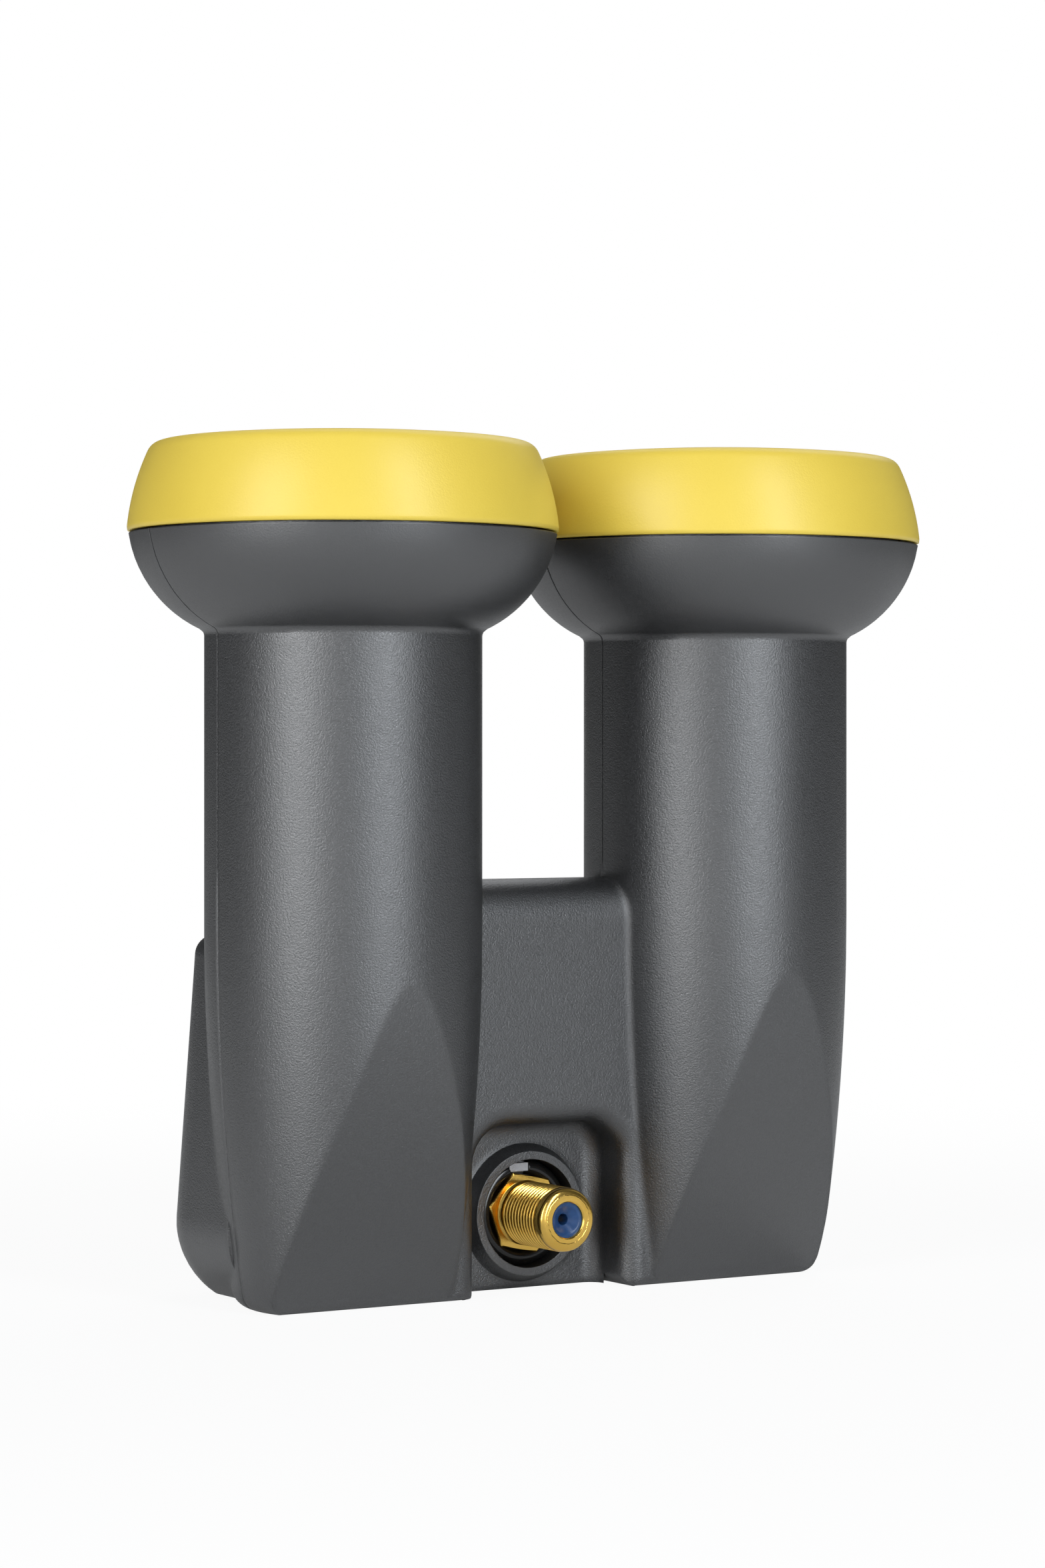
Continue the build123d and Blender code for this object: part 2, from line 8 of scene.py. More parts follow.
import bpy
import numpy as np
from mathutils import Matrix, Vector


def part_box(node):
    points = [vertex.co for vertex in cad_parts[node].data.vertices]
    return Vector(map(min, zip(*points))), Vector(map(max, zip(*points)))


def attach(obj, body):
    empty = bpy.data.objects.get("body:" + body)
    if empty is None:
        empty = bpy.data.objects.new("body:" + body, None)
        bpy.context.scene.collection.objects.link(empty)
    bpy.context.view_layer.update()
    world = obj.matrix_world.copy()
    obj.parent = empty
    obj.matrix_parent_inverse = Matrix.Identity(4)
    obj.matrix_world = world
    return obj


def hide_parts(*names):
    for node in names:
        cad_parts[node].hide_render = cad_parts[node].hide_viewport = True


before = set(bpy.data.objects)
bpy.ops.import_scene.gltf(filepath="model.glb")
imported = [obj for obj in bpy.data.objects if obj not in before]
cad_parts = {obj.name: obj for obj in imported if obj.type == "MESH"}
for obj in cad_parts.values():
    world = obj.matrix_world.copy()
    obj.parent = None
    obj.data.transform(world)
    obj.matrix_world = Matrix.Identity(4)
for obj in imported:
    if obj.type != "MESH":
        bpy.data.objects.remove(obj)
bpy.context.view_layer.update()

# Casting
# One zinc die casting carries both horns, both waveguides and the tray for the electronics.
# It is left as cast, grey and slightly rough. The pad behind the connector lies deep in the boss and is
# painted near-black as painted shade, so only the key in the rubber ring's gap shows above the hexagon.


class Shade:
    """A socket in a node tree. Operators on it add Math nodes to that tree."""

    def __init__(self, tree, socket=None):
        self.tree = tree
        self.socket = socket

    def node(self, kind, settings, sockets, out=0):
        """New node of a kind: its settings are set first, then its sockets get values or links."""
        made = self.tree.nodes.new(kind)
        for key, value in settings.items():
            setattr(made, key, value)
        for key, value in sockets.items():
            if isinstance(value, Shade):
                self.tree.links.new(value.socket, made.inputs[key])
            else:
                made.inputs[key].default_value = value
        return Shade(self.tree, made.outputs[out])

    def maths(self, operation, *values):
        """Math node of an operation on values or links, in their order."""
        return self.node("ShaderNodeMath", {"operation": operation}, dict(enumerate(values)))

    def __add__(self, other):
        return self.maths("ADD", self, other)

    def __radd__(self, other):
        return self.maths("ADD", other, self)

    def __sub__(self, other):
        return self.maths("SUBTRACT", self, other)

    def __rsub__(self, other):
        return self.maths("SUBTRACT", other, self)

    def __mul__(self, other):
        return self.maths("MULTIPLY", self, other)

    def __rmul__(self, other):
        return self.maths("MULTIPLY", other, self)

    def root(self):
        """Square root."""
        return self.maths("SQRT", self)

    def size(self):
        """Value without its sign."""
        return self.maths("ABSOLUTE", self)

    def between(self, low, high):
        """0 below low, 1 above high, and a smooth step from one to the other."""
        sockets = {"Value": self, "From Min": low, "From Max": high}
        return self.node("ShaderNodeMapRange", {"interpolation_type": "SMOOTHSTEP"}, sockets)

    def spread(self, first, last):
        """Value that goes straight from first at 0 to last at 1."""
        return self * (last - first) + first

    def tint(self, first, last):
        """Colour that goes from first at 0 to last at 1. Each is three numbers or a socket."""
        ends = [end if isinstance(end, Shade) else (*end, 1) for end in (first, last)]
        sockets = {0: self, 6: ends[0], 7: ends[1]}
        return self.node("ShaderNodeMix", {"data_type": "RGBA"}, sockets, 2)


class Finish:
    """A material with one Principled shader. Fixed values are set on its sockets at once."""

    def __init__(self, name, **fixed):
        self.material = bpy.data.materials.new(name)
        self.material.use_nodes = True
        self.tree = self.material.node_tree
        self.tree.nodes.clear()
        self.shader = self.tree.nodes.new("ShaderNodeBsdfPrincipled")
        output = self.tree.nodes.new("ShaderNodeOutputMaterial")
        self.tree.links.new(self.shader.outputs[0], output.inputs["Surface"])
        self.start = Shade(self.tree)
        self.place = self.start.node("ShaderNodeTexCoord", {}, {}, "Object")
        for key, value in fixed.items():
            self.socket(key).default_value = value

    def socket(self, key):
        """The shader's socket of a name in small letters, such as base_color or ior."""
        return self.shader.inputs["IOR" if key == "ior" else key.replace("_", " ").title()]

    def noise(self, scale, detail=2.0, rough=0.5, place=None):
        """Noise from 0 to 1, with scale in spots to the metre, on Object coordinates or a given place."""
        sockets = {"Vector": place or self.place, "Scale": scale, "Detail": detail, "Roughness": rough}
        return self.start.node("ShaderNodeTexNoise", {}, sockets)

    def axis(self, name):
        """One Object coordinate in metres."""
        return self.start.node("ShaderNodeSeparateXYZ", {}, {0: self.place}, name)

    def feed(self, **links):
        """Links what changes over the surface to the shader's sockets."""
        for key, value in links.items():
            self.tree.links.new(value.socket, self.socket(key))

    def vary(self, pattern, colours, roughness):
        """Colour and roughness that go from first to last of their pair as a pattern goes from 0 to 1."""
        self.feed(base_color=pattern.tint(*colours), roughness=pattern.spread(*roughness))

    def relief(self, height, depth, **over):
        """Bump of a height from 0 to 1 that stands for depth metres, over another Normal if given."""
        sockets = {"Height": height, "Distance": depth, **over}
        self.feed(normal=self.start.node("ShaderNodeBump", {}, sockets))


def coat_nodes(finish, *names):
    """Gives CAD nodes a finish in place of their plain material."""
    for name in names:
        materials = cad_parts[name].data.materials
        materials.clear()
        materials.append(finish.material)


cast_dark, cast_light = (0.34, 0.34, 0.35), (0.58, 0.58, 0.60)
cast_metallic = 0.85
cast_relief = 0.00006
painted_shade_black = (0.008, 0.008, 0.008)
shaded_y, bare_y = 0.0060, 0.0070
shaded_z, bare_z = 0.0170, 0.0174

zinc = Finish("zinc_as_cast")
grain = zinc.noise(2600, detail=3.0, rough=0.6)
flow = zinc.noise(160, detail=3.0)
# Painted shade: the pad deep behind the connector, below the key, is coloured near-black and made
# non-metallic.
on_pad = 1 - zinc.axis("Y").between(shaded_y, bare_y)
painted_shade = on_pad * (1 - zinc.axis("Z").between(shaded_z, bare_z))
zinc.feed(
    base_color=painted_shade.tint(flow.tint(cast_dark, cast_light), painted_shade_black),
    roughness=grain.spread(0.32, 0.62),
    metallic=painted_shade.spread(cast_metallic, 0),
)
zinc.relief(grain, cast_relief)
coat_nodes(zinc, "cast_body")

# Probes, beads and contact
# Thin gold-plated pins pick the signal up in the waveguides. White insulating beads hold them,
# and a spring contact of the same metal takes the output to the connector.

pin_gold = Finish("pin_gold", metallic=1.0)
pin_gold.vary(
    pin_gold.noise(900, detail=3.0),
    colours=((0.62, 0.40, 0.11), (0.86, 0.62, 0.22)),
    roughness=(0.2, 0.4),
)
for side in ("left", "right"):
    coat_nodes(pin_gold, f"{side}_upright_probe", f"{side}_cross_probe")
coat_nodes(pin_gold, "connector_contact")

bead_white = Finish("bead_white", subsurface_weight=0.1)
bead_white.vary(
    bead_white.noise(1200),
    colours=((0.70, 0.70, 0.67), (0.82, 0.82, 0.80)),
    roughness=(0.4, 0.6),
)
coat_nodes(bead_white, "probe_beads")

# Board and chips
# A green printed board with copper under its lacquer, black moulded chips and plain steel
# crystal cans. Small plated screws hold it on the casting's posts.

track_relief = 0.00003
chip_relief = 0.00001

board_green = Finish("board_lacquer", coat_weight=0.4)
weave = board_green.noise(3200)
tracks = board_green.noise(420, detail=1.0).between(0.52, 0.55)
board_green.feed(
    base_color=tracks.tint((0.012, 0.075, 0.030), (0.030, 0.150, 0.055)),
    roughness=weave.spread(0.3, 0.5),
)
board_green.relief(tracks, track_relief)
coat_nodes(board_green, "circuit_board")

chip_black = Finish("chip_moulding")
chip_grain = chip_black.noise(5200)
chip_black.vary(
    chip_grain,
    colours=((0.012, 0.012, 0.013), (0.028, 0.028, 0.030)),
    roughness=(0.5, 0.7),
)
chip_black.relief(chip_grain, chip_relief)
coat_nodes(chip_black, "amplifier_chips", "converter_chips", "switch_chip", "regulator")

plated_steel = Finish("plated_steel", metallic=1.0)
plated_steel.vary(
    plated_steel.noise(1500, detail=3.0),
    colours=((0.42, 0.42, 0.43), (0.62, 0.62, 0.63)),
    roughness=(0.2, 0.45),
)
coat_nodes(plated_steel, "board_screws", "cover_screws", "crystals")

# Lid of the tray
# A flat sheet of rolled metal closes the tray over a thin black gasket. The plated screws hold
# it, and rubber of the same kind as the gasket seals the feed caps.

rolled_stretch = (18.0, 1.0, 1.0)

lid_sheet = Finish("lid_sheet", metallic=1.0)
stretch = {"Vector": lid_sheet.place, "Scale": rolled_stretch}
along_roll = lid_sheet.start.node("ShaderNodeMapping", {"vector_type": "TEXTURE"}, stretch)
lid_sheet.vary(
    lid_sheet.noise(2400, place=along_roll),
    colours=((0.52, 0.52, 0.53), (0.66, 0.66, 0.67)),
    roughness=(0.25, 0.45),
)
coat_nodes(lid_sheet, "tray_cover")

rubber_black = Finish("rubber_black", ior=1.42)
rubber_black.vary(
    rubber_black.noise(700, detail=3.0),
    colours=((0.006, 0.006, 0.006), (0.016, 0.016, 0.016)),
    roughness=(0.22, 0.34),
)
coat_nodes(rubber_black, "cover_gasket", "left_cap_seal", "right_cap_seal")

# Connector body
# Turned brass, gold plated: a hexagon with turned corners, a 3/8 inch barrel with 32 threads to
# the inch, and a plain nose with a rounded rim around the mouth. It is pressed into the casting.

inch = 0.0254
low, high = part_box("connector_body")
connector_z = (low.z + high.z) / 2
nose_y, shank_end = low.y, high.y
shank_r = 0.00375
bore_r = 0.0015

hex_front = nose_y + 0.0118
hex_back = hex_front + 0.0017
hex_flat = 0.0055
hex_corner = hex_flat / np.cos(np.pi / 6)
hex_turn = np.radians(-11)
hex_core = 0.0052
front_bevel_y, front_bevel_r = 0.00016, 0.00026
back_bevel_y, back_bevel_r = 0.0002, 0.0003

thread_r = inch * 3 / 16
thread_pitch = inch / 32
thread_depth = 0.00047
crest_edge, flank_width = 0.76, 0.5
neck_y = hex_front - 0.0008
neck_share = 0.8
run_out, run_in = 0.0004, 0.0005
same_radius = 1e-7
barrel_rows = 288
turn_steps = 192

nose_back = nose_y + 0.0015
nose_r = 0.00468
nose_step = 0.0002
mouth_r = 0.00262
mouth_bevel = 0.00018
mouth_floor = nose_y + 0.0090
crisp_bend, small_bend, wide_bend, nose_bend = 0.00005, 0.0001, 0.0002, 0.0010
bend_steps = 8


def mesh_piece(name, points, *faces):
    """Mesh piece from points and arrays of faces, smooth shaded and riding on the part."""
    mesh = bpy.data.meshes.new(name)
    mesh.from_pydata(points.reshape(-1, 3).tolist(), [], sum((part.tolist() for part in faces), []))
    mesh.update()
    mesh.shade_smooth()
    piece = bpy.data.objects.new(name, mesh)
    bpy.context.scene.collection.objects.link(piece)
    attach(piece, "root")
    return piece


def parabola(first, corner, last, share):
    """Point at a share of the way from first to last, on the parabola that points at corner from both.

    The weights are the share's remainder squared, twice both multiplied, and the share squared."""
    rest = 1 - share
    return rest**2 * first + 2 * share * rest * corner + share**2 * last


def rounded(rows):
    """Closed profile of depths y and radii r through rows of corner y, corner r and bend.

    Each corner becomes a parabola between the places where an arc with the bend as its radius would
    touch both straights, which are bend / tan(half the angle between them) from the corner."""
    table = np.array(rows)
    corner, bend = table[:, :2], table[:, 2]
    before = np.roll(corner, 1, 0) - corner
    after = np.roll(corner, -1, 0) - corner
    before /= np.linalg.norm(before, axis=1)[:, None]
    after /= np.linalg.norm(after, axis=1)[:, None]
    half = np.arccos(np.clip((before * after).sum(1), -1, 1)) / 2
    reach = (bend / np.tan(half))[:, None]
    share = np.linspace(0, 1, bend_steps)[None, :, None]
    ends = corner + before * reach, corner + after * reach
    arcs = parabola(ends[0][:, None], corner[:, None], ends[1][:, None], share)
    return arcs.reshape(-1, 2)


def lathe(name, profile, angle, shape=None):
    """Surface of a closed profile of depths y and radii r, carried round the connector's axis.

    A point at an angle of the sweep is (r cos angle, y, height of the axis + r sin angle); shape
    may change the grid of radii before it is placed. A sweep that stops short of a full turn gets
    the profile itself as a face at both ends."""
    depth, radius = np.repeat(profile[:, :, None], len(angle), 2).transpose(1, 0, 2)
    if shape is not None:
        radius = shape(depth, radius, angle[None, :])
    points = np.stack([radius * np.cos(angle), depth, connector_z + radius * np.sin(angle)], -1)
    index = np.arange(depth.size).reshape(depth.shape)
    right = np.roll(index, -1, 1)
    quads = np.stack([index, right, np.roll(right, -1, 0), np.roll(index, -1, 0)], -1)
    step = angle[1] - angle[0]
    full_turn = np.isclose(angle[-1] + step, angle[0] + 2 * np.pi)
    if full_turn:
        return mesh_piece(name, points, quads.reshape(-1, 4))
    ends = np.stack([index[:, 0], index[::-1, -1]])
    return mesh_piece(name, points, quads[:, :-1].reshape(-1, 4), ends)


def turned_form(depth, radius, angle):
    """Hexagon where the profile is at the hexagon, thread where it is on the barrel.

    The hexagon's radius is its half width over the cosine of the angle to the nearest flat's
    middle; the profile outside hex_core is drawn in to it in proportion. The thread is a triangle
    wave with narrow flats, whose phase runs with depth / pitch minus angle / one turn. It fades
    out at the nose and runs out into a plain neck before the hexagon."""
    fold = np.mod(angle - hex_turn, np.pi / 3) - np.pi / 6
    share = (hex_flat / np.cos(fold) - hex_core) / (hex_corner - hex_core)
    radius = np.where(radius > hex_core, hex_core + (radius - hex_core) * share, radius)
    phase = depth / thread_pitch - angle / (2 * np.pi)
    wave = np.abs(2 * np.mod(phase, 1) - 1)
    groove = np.clip((crest_edge - wave) / flank_width, 0, 1)
    past_neck = np.clip((neck_y - depth) / run_out, 0, 1)
    past_nose = np.clip((depth - nose_back) / run_in, 0, 1)
    cut = groove * past_neck * past_nose + neck_share * (1 - past_neck)
    on_barrel = (np.abs(radius - thread_r) < same_radius) & (depth < hex_front)
    return radius - np.where(on_barrel, cut * thread_depth, 0)


def from_axis(finish):
    """Distance from the connector's axis: the root of x squared plus height above it squared."""
    across, up = finish.axis("X"), finish.axis("Z") - connector_z
    return (across * across + up * up).root()


behind_barrel = [
    (shank_end, bore_r, small_bend),
    (shank_end, shank_r, wide_bend),
    (hex_back, shank_r, wide_bend),
    (hex_back, hex_corner - back_bevel_r, crisp_bend),
    (hex_back - back_bevel_y, hex_corner, crisp_bend),
    (hex_front + front_bevel_y, hex_corner, crisp_bend),
    (hex_front, hex_corner - front_bevel_r, crisp_bend),
    (hex_front, thread_r, small_bend),
]
ahead_of_barrel = [
    (nose_back, thread_r, crisp_bend),
    (nose_back - nose_step, nose_r, crisp_bend),
    (nose_y, nose_r, nose_bend),
    (nose_y, mouth_r + mouth_bevel, crisp_bend),
    (nose_y + mouth_bevel, mouth_r, crisp_bend),
    (mouth_floor, mouth_r, small_bend),
    (mouth_floor, bore_r, small_bend),
]
turned = rounded(behind_barrel + ahead_of_barrel)
split = len(behind_barrel) * bend_steps
barrel = np.linspace(turned[split - 1, 0], turned[split, 0], barrel_rows + 2)[1:-1]
barrel = np.stack([barrel, np.full_like(barrel, thread_r)], 1)
turned = np.concatenate([turned[:split], barrel, turned[split:]])
sweep = hex_turn + np.linspace(0, 2 * np.pi, turn_steps, endpoint=False)
connector = lathe("threaded_connector", turned, sweep, turned_form)

scuff_share = 0.4
burr_r = 0.00356
burr_wander = 0.0003
burr_core, burr_edge = 0.00004, 0.00018
face_y, face_end = nose_y + 0.00012, nose_y + 0.0003
burr_relief = 0.00003

plated_gold = Finish("plated_gold", metallic=1.0)
tone = plated_gold.noise(260, detail=3.0)
scuff = plated_gold.noise(2400, detail=3.0, rough=0.65)
plated_gold.feed(
    base_color=tone.tint((0.79, 0.48, 0.085), (0.95, 0.63, 0.165)),
    roughness=scuff.spread(0.10, 0.26),
)
wander = (plated_gold.noise(1700) - 0.5) * burr_wander
off_burr = (from_axis(plated_gold) + wander - burr_r).size()
burr = 1 - off_burr.between(burr_core, burr_edge)
on_face = 1 - plated_gold.axis("Y").between(face_y, face_end)
plated_gold.relief(scuff * scuff_share + burr * on_face, burr_relief)
connector.data.materials.append(plated_gold.material)
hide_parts("connector_body")

# Connector insulator
# A blue moulded plug fills the barrel's mouth a little below its rim. A funnel in its face leads
# the cable's core to the hole where the contact waits.

low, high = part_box("connector_insulator")
plug_r = (high.z - low.z) / 2
plug_face, plug_back = low.y, high.y
core_r = 0.0008
rim_width, rim_fall = 0.0005, 0.00005
funnel_end, funnel_bend = 0.0010, 0.0007
hole_start, hole_lead = 0.0014, 0.00004
plug_steps = 96
blue_relief = 0.00003

plug = rounded(
    [
        (plug_back, core_r, small_bend),
        (plug_back, plug_r, wide_bend),
        (plug_face, plug_r, crisp_bend),
        (plug_face + rim_fall, plug_r - rim_width, funnel_bend),
        (plug_face + funnel_end, core_r + hole_lead, crisp_bend),
        (plug_face + hole_start, core_r, crisp_bend),
    ]
)
insulator = lathe("mouth_insulator", plug, np.linspace(0, 2 * np.pi, plug_steps, endpoint=False))

moulded_blue = Finish("moulded_blue", ior=1.5, subsurface_weight=0.05)
cloud = moulded_blue.noise(1100, detail=3.0)
moulded_blue.vary(
    cloud,
    colours=((0.010, 0.040, 0.130), (0.020, 0.075, 0.210)),
    roughness=(0.22, 0.42),
)
moulded_blue.relief(cloud, blue_relief)
insulator.data.materials.append(moulded_blue.material)
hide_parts("connector_insulator")

# Sealing ring
# A glossy black rubber ring lies on the casting's pad round the hexagon, pressed into the boss.
# It is open at the top, where the casting's key stands in the gap.

ring_r = 0.0066
ring_outward, ring_inward = 0.00135, 0.0010
ring_height = 0.00145
gap_right, gap_left = 83.9, 111.4
section_steps, ring_steps = 26, 160

around = np.linspace(np.pi, 0, section_steps)
ring_width = np.where(around > np.pi / 2, ring_outward, ring_inward)
ring_depths = hex_back - ring_height * np.sin(around)
ring_section = np.stack([ring_depths, ring_r - ring_width * np.cos(around)], 1)
ring_sweep = np.radians(np.linspace(gap_left, gap_right + 360, ring_steps))
ring = lathe("sealing_ring", ring_section, ring_sweep)

ring_rubber = Finish("ring_rubber", ior=1.5)
ring_rubber.vary(
    ring_rubber.noise(900, detail=3.0),
    colours=((0.005, 0.005, 0.005), (0.012, 0.012, 0.012)),
    roughness=(0.10, 0.24),
)
ring.data.materials.append(ring_rubber.material)
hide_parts("connector_seal")

# Housing shells
# Two dark grey mouldings that meet in a thin open seam down both columns. The tool was spark
# eroded, so the plastic has a fine pebble grain; the heads were polished and are smoother.

grain_dark, grain_light = (0.001, 0.001, 0.0011), (0.032, 0.0325, 0.0345)
grain_relief = 0.00009
grain_contrast = 2.0
fine_share = 0.3
batch_share = 0.2
mid_shade = 0.36
mid_roughness = 0.355
grain_roughness = 0.4
polish_loss, polish_roughness = 0.65, 0.06
neck_end, head_start = 0.0955, 0.0990
boss_r, boss_clear = 0.0098, 0.0112
soft_top, crisp_start = 0.058, 0.066
crisp_radius, soft_radius = 0.0002, 0.0016
edge_samples = 6

housing_grey = Finish("grained_grey", ior=2.1)
height = housing_grey.axis("Z")
polished = height.between(neck_end, head_start)
pebble = housing_grey.noise(3700, detail=2.5, rough=0.55)
fine = housing_grey.noise(9500, detail=1.0)
pebbles = pebble * (1 - fine_share) + fine * fine_share
grain_depth = 1 - polished * polish_loss
batch = housing_grey.noise(55) * batch_share
shade = (pebbles - 0.5) * grain_contrast * grain_depth + batch + mid_shade
housing_grey.feed(
    base_color=shade.tint(grain_dark, grain_light),
    roughness=mid_roughness + (pebbles - 0.5) * grain_roughness + polished * polish_roughness,
)
soft = from_axis(housing_grey).between(boss_r, boss_clear) * (1 - height.between(soft_top, crisp_start))
crisp_edge, soft_edge = (
    housing_grey.start.node("ShaderNodeBevel", {"samples": edge_samples}, {"Radius": radius})
    for radius in (crisp_radius, soft_radius)
)
edge_mix = {0: soft, 4: crisp_edge, 5: soft_edge}
edges = housing_grey.start.node("ShaderNodeMix", {"data_type": "VECTOR"}, edge_mix, 1)
housing_grey.relief(pebbles * grain_depth, grain_relief, Normal=edges)
coat_nodes(housing_grey, "front_shell", "rear_shell")

# Feed caps
# Yellow moulded lids pressed over the horns. Their side draws in with a long curve to a rounded
# crown, and the lower edge is a narrow lip just over the head's rim. The top is left matt.

cap_wall = 0.0016
cap_side = 0.0127
cap_draw = 0.0036
side_bow = 0.034
crown_reach = 0.001054
lip_inset, lip_bevel, lip_height = 0.00045, 0.00012, 0.00035
skin_steps, crown_steps = 40, 12


def cap_skin(lip_r, foot_z, top_z, inset):
    """Half outline of a lid, radii and heights, from its lip to the middle of its top.

    The side is an arc of radius side_bow from the lip to the crown's corner, and the top a dome that
    falls with the square of the radius. Within crown_reach of the corner a parabola joins them. All
    but the foot's height is moved inwards by inset."""
    lip = np.array([lip_r - inset, foot_z])
    corner = np.array([lip_r - cap_draw - inset, foot_z + cap_side - inset])
    top = top_z - inset
    chord = corner - lip
    length = np.hypot(*chord)
    offset = np.sqrt(side_bow**2 - length**2 / 4)
    centre = (lip + corner) / 2 + np.array([-chord[1], chord[0]]) / length * offset
    first, last = (np.arctan2(*(end - centre)[::-1]) for end in (lip, corner))
    turn = np.linspace(first, last, skin_steps)
    side = centre + side_bow * np.stack([np.cos(turn), np.sin(turn)], 1)
    reach = np.linspace(1, 0, skin_steps)
    dome = np.stack([corner[0] * reach, top - (top - corner[1]) * reach**2], 1)
    side = side[np.hypot(*(side - corner).T) > crown_reach]
    dome = dome[np.hypot(*(dome - corner).T) > crown_reach]
    share = np.linspace(0, 1, crown_steps)[1:-1, None]
    return np.concatenate([side, parabola(side[-1], corner, dome[0], share), dome])


def cap_piece(name, node):
    """Lid turned about its feed axis, with its inside a wall's thickness within its outside.

    A point at an angle is (feed's x + r cos angle, r sin angle, z). Both ends of the outline lie on
    the axis and close with a fan of triangles."""
    low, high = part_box(node)
    feed_x = (low.x + high.x) / 2
    lip_r = (high.x - low.x) / 2
    inside = cap_skin(lip_r, low.z, high.z, cap_wall)[::-1]
    outside = cap_skin(lip_r, low.z, high.z, 0)
    outside = outside[outside[:, 1] > low.z + lip_height]
    lip_radii = lip_r - np.array([cap_wall, lip_inset, lip_bevel])
    lip = np.stack([lip_radii, low.z + np.array([0, 0, lip_bevel])], 1)
    outline = np.concatenate([inside[:-1], lip, outside])
    angle = np.linspace(0, 2 * np.pi, turn_steps, endpoint=False)
    radius, z = outline[1:-1, :1], outline[1:-1, 1:]
    around = [feed_x + radius * np.cos(angle), radius * np.sin(angle), np.repeat(z, turn_steps, 1)]
    points = np.stack(around, -1)
    index = np.arange(points.size // 3).reshape(points.shape[:2])
    right = np.roll(index, -1, 1)
    quads = np.stack([index[:-1], right[:-1], right[1:], index[1:]], -1).reshape(-1, 4)
    poles = np.array([[feed_x, 0, outline[0, 1]], [feed_x, 0, outline[-1, 1]]])
    first, last = np.full(turn_steps, index.size), np.full(turn_steps, index.size + 1)
    fans = np.stack([first, right[0], index[0]], 1), np.stack([last, index[-1], right[-1]], 1)
    piece = mesh_piece(name, np.concatenate([points.reshape(-1, 3), poles]), quads, *fans)
    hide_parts(node)
    return piece


crown_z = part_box("left_feed_cap")[0].z + cap_side
matt_fade = 0.0006
matt_roughness = 0.4
satin_share = 0.3
satin_relief = 0.00002

cap_yellow = Finish("cap_yellow", ior=1.48)
swirl = cap_yellow.noise(38, detail=3.0)
satin = cap_yellow.noise(3800)
tone = swirl * (1 - satin_share) + satin * satin_share
matt_top = cap_yellow.axis("Z").between(crown_z - matt_fade, crown_z + matt_fade)
cap_yellow.feed(
    base_color=tone.tint((0.72, 0.52, 0.060), (0.81, 0.62, 0.100)),
    roughness=satin.spread(0.31, 0.45) + matt_top * matt_roughness,
)
cap_yellow.relief(satin, satin_relief)
for side in ("left", "right"):
    lid = cap_piece(f"{side}_cap_lid", f"{side}_feed_cap")
    lid.data.materials.append(cap_yellow.material)

# Studio
# A pale floor, two tall soft boxes left and right of the camera, and a weak one above and behind.
# The camera stands level, 32 degrees to the left of the front, and its frame is shifted down.

view_angle = np.radians(32)
view_line = Vector((np.sin(view_angle), np.cos(view_angle), 0))
white = (1, 1, 1, 1)
floor_half = 3.0
floor_grey = (0.86, 0.86, 0.86, 1)
floor_white, floor_fall = 0.93, 0.07
fall_start, fall_end = 0.10, 0.36
floor_mirrored = 0.12


def seen_white(start, mirrored):
    """1 for rays from the camera, and mirrored for rays off a glossy or through a clear surface."""
    kinds = ("Is Camera Ray", "Is Glossy Ray", "Is Transmission Ray")
    camera_ray, glossy, clear = (start.node("ShaderNodeLightPath", {}, {}, kind) for kind in kinds)
    return start.maths("MINIMUM", camera_ray + (glossy + clear) * mirrored, 1.0)


def mix_to_output(start, output_kind, share, plain, bright):
    """Ends a tree with a mix of two shaders, plain at a share of 0 and bright at 1."""
    output = start.tree.nodes.new(output_kind)
    mixed = start.node("ShaderNodeMixShader", {}, {0: share, 1: plain, 2: bright})
    start.tree.links.new(mixed.socket, output.inputs["Surface"])


floor_corners = floor_half * np.array([(-1, -1, 0), (1, -1, 0), (1, 1, 0), (-1, 1, 0)])
mesh = bpy.data.meshes.new("floor")
mesh.from_pydata(floor_corners.tolist(), [], [(0, 1, 2, 3)])
floor = bpy.data.objects.new("floor", mesh)
bpy.context.scene.collection.objects.link(floor)

floor_paper = bpy.data.materials.new("floor_paper")
floor_paper.use_nodes = True
floor_paper.node_tree.nodes.clear()
start = Shade(floor_paper.node_tree)
place = start.node("ShaderNodeTexCoord", {}, {}, "Object")
away = start.node("ShaderNodeVectorMath", {"operation": "LENGTH"}, {0: place}, "Value")
white_share = away.between(fall_start, fall_end) * floor_fall + floor_white
paper = start.node("ShaderNodeBsdfDiffuse", {}, {"Color": floor_grey})
bright = start.node("ShaderNodeEmission", {}, {"Color": white, "Strength": 1.0})
seen = seen_white(start, floor_mirrored) * white_share
mix_to_output(start, "ShaderNodeOutputMaterial", seen, paper, bright)
mesh.materials.append(floor_paper)

room_dark, room_light = (0.078, 0.080, 0.082), (0.87, 0.89, 0.92)
backdrop_edge, backdrop_full = 0.96, 0.995
glow_edge, glow_full, glow_share = 0.2, 0.9, 0.31
near_edge, near_full = 0.86, 0.98

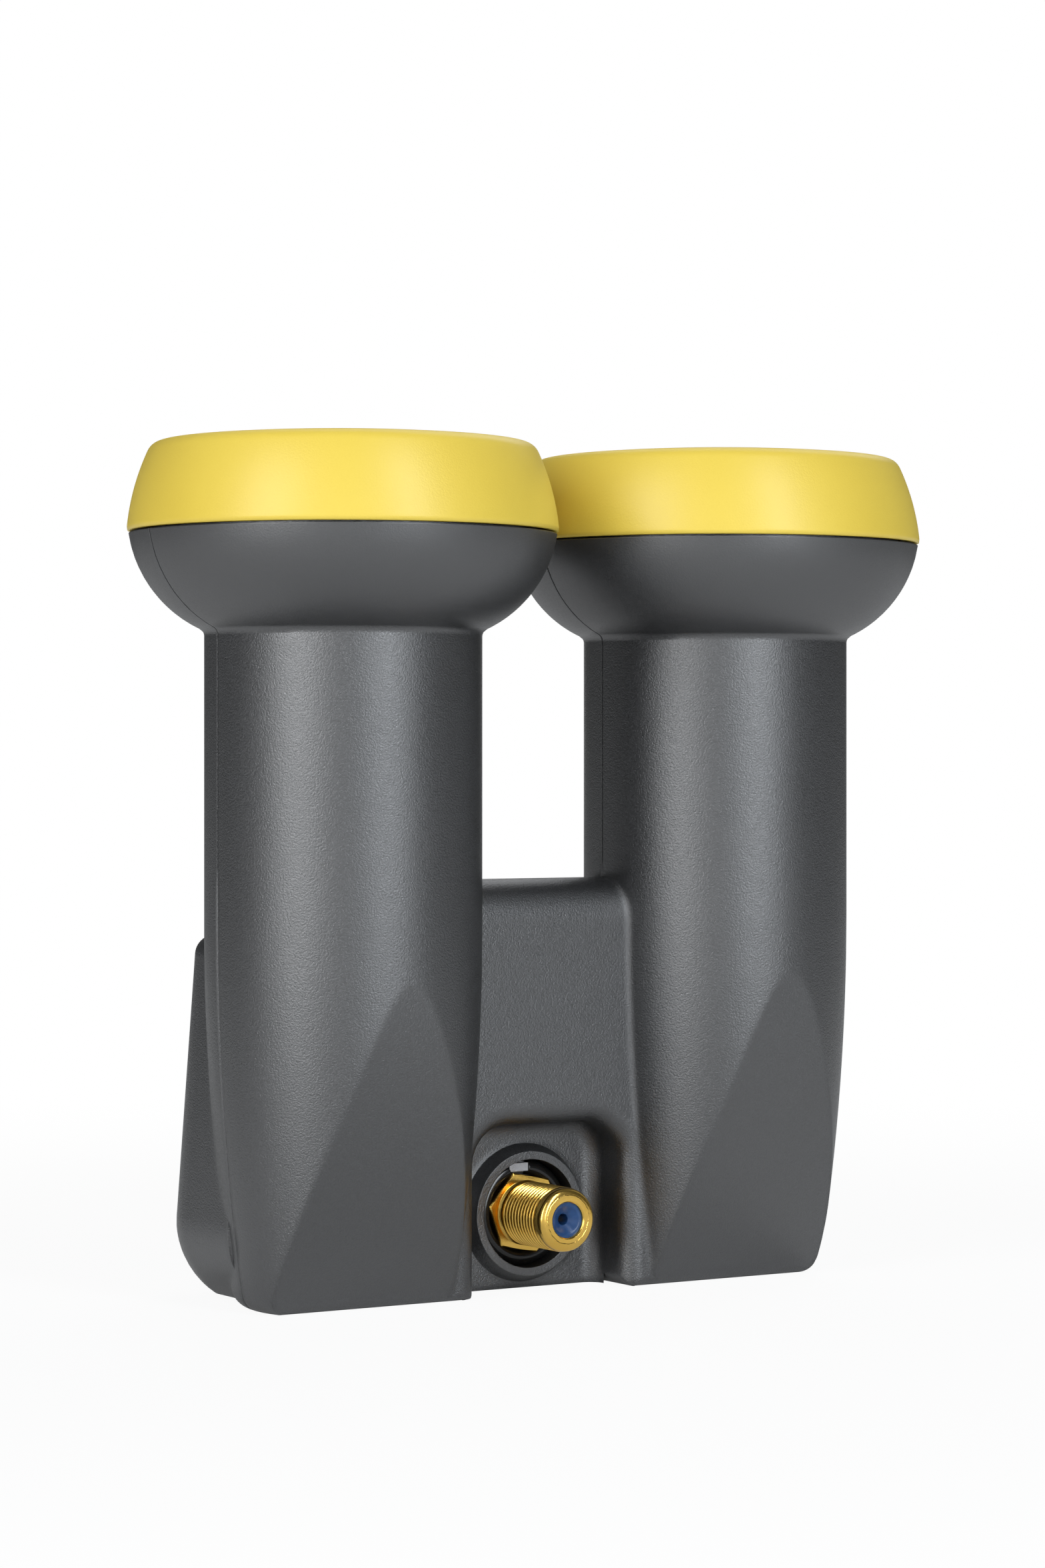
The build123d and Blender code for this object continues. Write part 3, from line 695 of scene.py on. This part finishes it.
world = bpy.data.worlds.new("studio")
bpy.context.scene.world = world
world.use_nodes = True
world.node_tree.nodes.clear()
start = Shade(world.node_tree)
way = start.node("ShaderNodeTexCoord", {}, {}, "Generated")
facing = {0: way, 1: view_line}
ahead = start.node("ShaderNodeVectorMath", {"operation": "DOT_PRODUCT"}, facing, "Value")
behind = 0 - ahead
wide_glow = behind.between(glow_edge, glow_full) * glow_share
near_glow = behind.between(near_edge, near_full) * (1 - glow_share)
room_colour = (wide_glow + near_glow).tint(room_dark, room_light)
room = start.node("ShaderNodeBackground", {}, {"Color": room_colour, "Strength": 1.0})
bright = start.node("ShaderNodeBackground", {}, {"Color": white, "Strength": 1.0})
seen = seen_white(start, ahead.between(backdrop_edge, backdrop_full))
mix_to_output(start, "ShaderNodeOutputWorld", seen, room, bright)

lit_point = Vector((0, 0, 0.062))
box_distance = 0.95
soft_white, cool_white = (0.96, 0.98, 1.0), (0.90, 0.95, 1.0)


def soft_box(name, turn, rise, width, tall, power, colour):
    """Area light that faces the part, at degrees to the right of the camera's line and above the level."""
    angle = view_angle - np.radians(turn)
    up = np.radians(rise)
    back = Vector((-np.sin(angle) * np.cos(up), -np.cos(angle) * np.cos(up), np.sin(up)))
    light = bpy.data.lights.new(name, "AREA")
    light.shape = "RECTANGLE"
    light.size, light.size_y = width, tall
    light.energy = power
    light.color = colour
    lamp = bpy.data.objects.new(name, light)
    lamp.location = lit_point + back * box_distance
    lamp.rotation_euler = (-back).to_track_quat("-Z", "Y").to_euler()
    bpy.context.scene.collection.objects.link(lamp)


soft_box("left_box", turn=-37.5, rise=16, width=0.44, tall=0.9, power=6.4, colour=soft_white)
soft_box("right_box", turn=37, rise=20, width=0.21, tall=1.0, power=5.9, colour=cool_white)
soft_box("rear_box", turn=165, rise=50, width=0.8, tall=0.8, power=3.4, colour=soft_white)

camera_data = bpy.data.cameras.new("camera")
camera_data.lens = 92.57
camera_data.sensor_width = 36.0
camera_data.shift_y = -0.01743
camera = bpy.data.objects.new("camera", camera_data)
camera.location = (-0.3181, -0.5057, 0.079)
camera.rotation_euler = view_line.to_track_quat("-Z", "Y").to_euler()
bpy.context.scene.collection.objects.link(camera)
bpy.context.scene.camera = camera
bpy.context.scene.view_settings.view_transform = "Standard"
